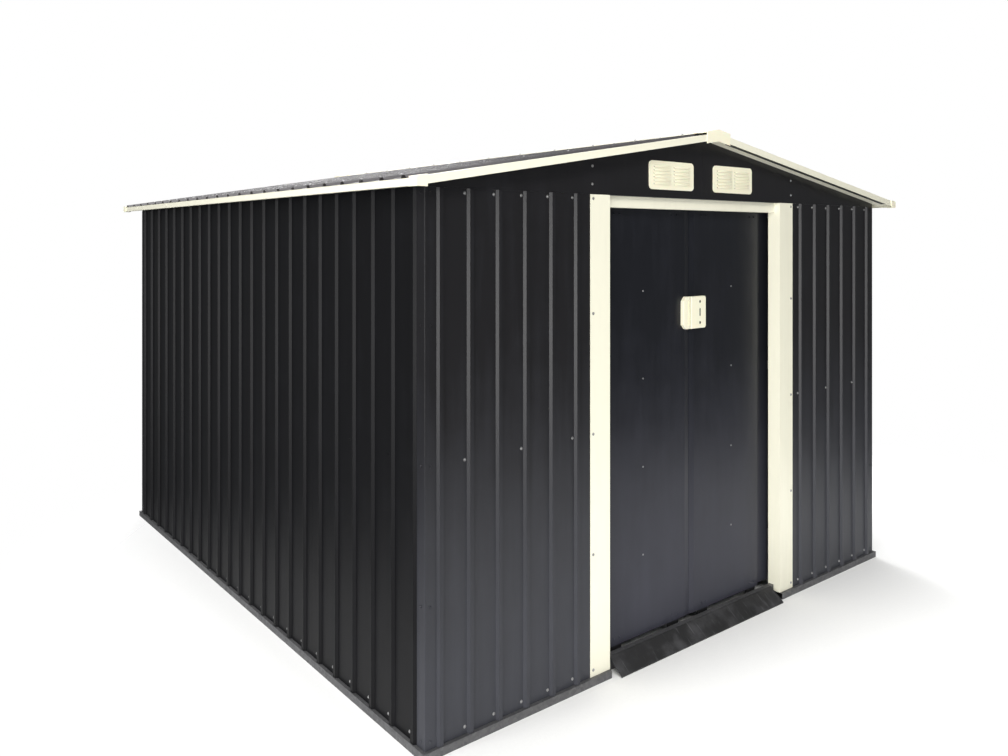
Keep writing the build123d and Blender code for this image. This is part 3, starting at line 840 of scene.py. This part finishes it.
shade_buffer_width = 3.4 * MM
shade_buffer_depth = 8 * MM
shade_buffer_sunk = 5 * MM
shade_buffer_short = 10 * MM
shade_buffer = bar("handle_shade_buffer", (plate_low.x - shade_buffer_width / 2,
                               plate_low.y + shade_buffer_sunk + shade_buffer_depth / 2, plate_middle),
             size=(shade_buffer_width, shade_buffer_depth, plate_high.z - plate_low.z - shade_buffer_short),
             rim=0.9 * MM, groove=0.6 * MM, edge=0.5 * MM)
# Grey, to stand for the shade in the groove between pull and plate.
gather("handle_shade_buffer", [shade_buffer], "door_right", rubber)

# %% [markdown]
# ## Seal strips under the rake trims, dark for the shadow line
#
# A strip of dark foam is stuck under each rake trim, just behind the lip of its fascia. It closes
# the ribs of the roof against wind, and its dark colour draws from below the line of shade between
# fascia and soffit: a painted shadow. The strip is modelled level, turned to the slope and moved to
# the soffit, whose face is found in the trim's own mesh.

# %% Seal strips that draw the shadow line
shade_seal_width = 20 * MM
shade_seal_thickness = 4 * MM
shade_seal_gap = 5 * MM
rake_low, rake_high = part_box("rake_trims_front")
soffit = widest_face("rake_trims_front",
                     lambda face: face.normal.z < -SQUARE_ON and face.center.x > 0)
soffit_pitch = math.atan2(-soffit.normal.x, -soffit.normal.z)
shade_seal_start, shade_seal_end = 80 * MM, rake_high.x - 60 * MM
shade_seal_middle = (shade_seal_start + shade_seal_end) / 2
shade_seal_length = (shade_seal_end - shade_seal_start) / math.cos(soffit_pitch)
shade_seal_height = soffit.center.z - (shade_seal_middle - soffit.center.x) * math.tan(soffit_pitch)
shade_seal_place = rake_low.y + shade_seal_gap + shade_seal_width / 2
shade_seal = bar("shade_seal_strip", (0, 0, -shade_seal_thickness / 2),
           size=(shade_seal_length, shade_seal_width, shade_seal_thickness), rim=6 * MM, groove=1 * MM,
           edge=0.8 * MM)
for end, y in (("front", shade_seal_place), ("back", -shade_seal_place)):
    copies = []
    for side in (-1, 1):
        turn = Matrix.Rotation(side * soffit_pitch, 4, "Y")
        lift = Matrix.Translation((side * shade_seal_middle, y, shade_seal_height))
        copies.append(copied(shade_seal, lift @ turn))
    # Black, to draw the line of shade under the fascia: a painted shadow.
    gather(f"rake_shade_seals_{end}", copies, "shed", black_plastic)
print("soffit pitch", round(math.degrees(soffit_pitch), 2), "shade_seal", round(shade_seal_length, 3), "m")

# %% [markdown]
# ## Strips behind the panel seams
#
# Real wall panels overlap by a rib. The CAD panels butt with a hair's breadth between them, so that
# each stays a solid of its own, and daylight would show through. A thin strip of tape behind each
# seam closes it. It is thinner than the space between sheet and rail, so it passes in front of the
# rails without a cut.

# %% Tape the seams
sheet = 1.0 * MM
tape_width = 24 * MM
tape_thickness = 0.2 * MM
tape_ends = 4 * MM
panels_in_wall = 4
flat_plane = wall_high.y - rib_height
tape_plane = flat_plane - sheet - tape_thickness / 2
tape_height = (wall_top + ledge_top) / 2
seams = [rib_places[round(i * rib_count / panels_in_wall)] - rib_pitch / 2
         for i in range(1, panels_in_wall)]
bpy.ops.mesh.primitive_plane_add(size=1.0, location=(0, 0, 0))
bpy.ops.transform.resize(value=(tape_width, wall_top - ledge_top - 2 * tape_ends, 1.0))
tape = start("seam_tape")
modify(tape, "SOLIDIFY", thickness=tape_thickness, offset=0.0)
bevel(tape, 0.06 * MM, segments=1)
for name, out in (("left", LEFT), ("right", RIGHT), ("back", BACK)):
    along = out.cross(UP)
    copies = [placed(tape, out * tape_plane + along * seam + UP * tape_height, out)
              for seam in seams]
    gather(f"seam_tapes_{name}", copies, "shed", charcoal)
print("flats at", round(flat_plane, 4), "seams at", [round(seam, 3) for seam in seams])

# %% [markdown]
# ## Louvre blades
#
# The vents' slots are hooded, so that rain can't drive in: the plastic is drawn out over each slot
# and down. A blade starts as a plane across the top of a slot. Its lower edge is extruded out and
# down three times to make the hood's curve: each step says how far in millimetres, and how much
# narrower the edge gets. Then the strip gets its thickness and soft edges. One blade is modelled
# and copied to the twelve slots of each vent.

# %% Model a louvre blade
vent_low, vent_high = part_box("vent_right")
slot_length = 94 * MM
slot_gap = 18 * MM
vent_frame = 14 * MM
vent_rows = 6
row_pitch = (vent_high.z - vent_low.z - 2 * vent_frame) / vent_rows
blade_root = 1.6 * MM
hood_steps = ((-1.3, -1.6, 0.99), (-0.9, -2.6, 0.985), (-0.2, -2.4, 0.98))
bpy.ops.mesh.primitive_plane_add(size=1.0, location=(0, 0, 0))
bpy.ops.transform.resize(value=(slot_length, blade_root, 1.0))
blade = start("louvre_blade")
bpy.ops.object.mode_set(mode="EDIT")
bpy.context.tool_settings.mesh_select_mode = (False, True, False)
bpy.ops.mesh.select_all(action="DESELECT")
bpy.ops.object.mode_set(mode="OBJECT")
for edge in blade.data.edges:
    edge.select = max(blade.data.vertices[i].co.y for i in edge.vertices) < 0
bpy.ops.object.mode_set(mode="EDIT")
for out, down, narrow in hood_steps:
    bpy.ops.mesh.extrude_region_move(TRANSFORM_OT_translate={"value": (0, out * MM, down * MM)})
    bpy.ops.transform.resize(value=(narrow, 1.0, 1.0))
bpy.ops.mesh.select_all(action="SELECT")
bpy.ops.mesh.normals_make_consistent(inside=False)
bpy.ops.object.mode_set(mode="OBJECT")
modify(blade, "SOLIDIFY", thickness=1.1 * MM)
bevel(blade, 0.35 * MM)
smooth(blade, 40)
print("blade:", len(blade.data.polygons), "faces")

# %% [markdown]
# ## Blades in both vents
#
# The slots stand in two columns of six. Each blade is set a hair proud of the vent's face and a
# little above the middle of its slot, so that the hood ends over the slot's lower edge.

# %% Hang the blades
blade_proud = 0.1 * MM
blade_above = 3.2 * MM
for name in ("left", "right"):
    low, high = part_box(f"vent_{name}")
    middle = (low + high) / 2
    copies = []
    for column in spread(2, slot_length + slot_gap):
        for row in spread(vent_rows, row_pitch):
            place = (middle.x + column, low.y - blade_proud, middle.z + row + blade_above)
            copies.append(copied(blade, Matrix.Translation(place)))
    gather(f"vent_louvres_{name}", copies, "shed", cream_plastic)

# %% [markdown]
# ## Putting the models away
#
# The models that were copied still stand at the origin. They are no part of the shed, and a piece
# that rides on nothing would stop the script, so they are removed.

# %% Remove the models
for model in (screw, rivet, screw_cap, shade_seal, tape, blade):
    bpy.data.objects.remove(model)
meshes = [piece for piece in bpy.context.scene.objects if piece.type == "MESH"]
print("pieces added:", len(meshes) - len(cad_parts))

# %% [markdown]
# ## Floor
#
# The shed is shown as in a catalogue, on a pale floor in a white surround. The floor is a wide
# disc whose rim fades out, so that no horizon shows. Dark glossy sheet mirrors the ground beside
# it, and the left wall has to stay dark. So the fade is centred in front of the shed and to the
# right of its middle, and on the left the floor ends early.

# %% Pale floor
floor_radius = 4.6
fade_centre = (0.5, -0.7)
fade_start, fade_end = 1.6, 3.1
bpy.ops.mesh.primitive_circle_add(vertices=96, radius=floor_radius, fill_type="NGON",
                                  location=(0, 0, 0))
floor = start("floor")
bpy.ops.object.mode_set(mode="EDIT")
bpy.ops.mesh.select_all(action="SELECT")
bpy.ops.mesh.inset(thickness=floor_radius * 0.4)
bpy.ops.object.mode_set(mode="OBJECT")
pale = Finish("pale_floor", Roughness=0.75, Specular_IOR_Level=0.2)
from_middle = pale.axis("X") - fade_centre[0]
from_front = pale.axis("Y") - fade_centre[1]
distance = (from_middle * from_middle + from_front * from_front) ** 0.5
speckle = pale.noise(90.0, 4.0)
pale.set(
    Base_Color=pale.blend(speckle, (0.93, 0.93, 0.925), (0.89, 0.89, 0.885)),
    Alpha=1.0 - pale.step(distance, fade_start, fade_end),
    Normal=pale.bump(speckle, 0.4 * MM),
)
pale.dress(floor)
print("floor:", 2 * floor_radius, "m across, gone", fade_end, "m from its middle")

# %% [markdown]
# ## Surround
#
# Dark glossy sheet shows whatever it mirrors. So the surround that lights the shed is much dimmer
# than the white one that the camera sees behind it, and Light Path tells the two apart.

# %% World
surround_strength = 0.16
backdrop_strength = 1.0
world = bpy.data.worlds.new("studio")
bpy.context.scene.world = world
world.use_nodes = True
studio = world.node_tree
surround = studio.nodes["Background"]
surround.inputs["Color"].default_value = (0.96, 0.98, 1.0, 1.0)
surround.inputs["Strength"].default_value = surround_strength
backdrop = studio.nodes.new("ShaderNodeBackground")
backdrop.inputs["Color"].default_value = (1.0, 1.0, 1.0, 1.0)
backdrop.inputs["Strength"].default_value = backdrop_strength
seen = studio.nodes.new("ShaderNodeLightPath")
either = studio.nodes.new("ShaderNodeMixShader")
studio.links.new(seen.outputs["Is Camera Ray"], either.inputs[0])
studio.links.new(surround.outputs[0], either.inputs[1])
studio.links.new(backdrop.outputs[0], either.inputs[2])
studio.links.new(either.outputs[0], studio.nodes["World Output"].inputs["Surface"])
print("surround:", surround_strength, "backdrop:", backdrop_strength)

# %% [markdown]
# ## Lamps
#
# Large soft lamps light the shed as a studio would. The key lights the front from above, and a wide
# low one at the front-left corner draws the bright lines along the slants of the ribs. The top one
# whitens the floor and the roof, and the side and back ones keep the far edges from going black.

# %% Lamps


def lamp(name, place, target, size, watts, tint=(1.0, 1.0, 1.0)):
    """A soft rectangular lamp aimed at a point."""
    light = bpy.data.lights.new(name, "AREA")
    light.shape = "RECTANGLE"
    light.size, light.size_y = size
    light.energy = watts
    light.color = tint
    holder = bpy.data.objects.new(name, light)
    holder.location = place
    holder.rotation_euler = (Vector(target) - Vector(place)).to_track_quat("-Z", "Y").to_euler()
    bpy.context.scene.collection.objects.link(holder)
    print("lamp", name, "with", watts, "watts")


lamp("key", place=(-3.4, -5.4, 4.6), target=(0.2, -1.0, 0.9), size=(3.4, 1.6), watts=225.0,
     tint=(1.0, 0.985, 0.95))
lamp("side", place=(-6.2, -0.6, 4.2), target=(-1.2, 0.0, 0.6), size=(1.2, 3.0), watts=120.0)
lamp("low", place=(-6.0, -4.8, 0.8), target=(0.0, -0.8, 0.9), size=(6.0, 2.8), watts=430.0)
lamp("top", place=(0.0, 0.4, 6.5), target=(0.0, 0.0, 0.0), size=(5.5, 5.5), watts=800.0)
lamp("back", place=(2.5, 5.8, 4.0), target=(0.0, 1.0, 0.8), size=(3.0, 2.0), watts=220.0)

# %% [markdown]
# ## Camera
#
# The photograph was taken from a little under the eaves with its uprights truly upright, so the
# camera stands level and the frame is shifted down. Its place, turn and focal length come from the
# ground lines, the ribs, the doorway and the vents.

# %% Camera
image_width, image_height = 1008, 756
focal_pixels = 828.74
vanishing_centre = (424.96, 239.04)
camera_turn = -35.973
camera_data = bpy.data.cameras.new("camera")
camera = bpy.data.objects.new("camera", camera_data)
bpy.context.scene.collection.objects.link(camera)
camera.location = (-2.6634, -3.1845, 1.4775)
camera.rotation_euler = (math.radians(90.0), 0.0, math.radians(camera_turn))
camera_data.sensor_width = 36.0
camera_data.lens = focal_pixels / image_width * camera_data.sensor_width
camera_data.shift_x = (image_width / 2 - vanishing_centre[0]) / image_width
camera_data.shift_y = (vanishing_centre[1] - image_height / 2) / image_width
bpy.context.scene.camera = camera
bpy.context.scene.view_settings.view_transform = "Standard"
print("lens", round(camera_data.lens, 2), "mm, shift", round(camera_data.shift_x, 4),
      round(camera_data.shift_y, 4))
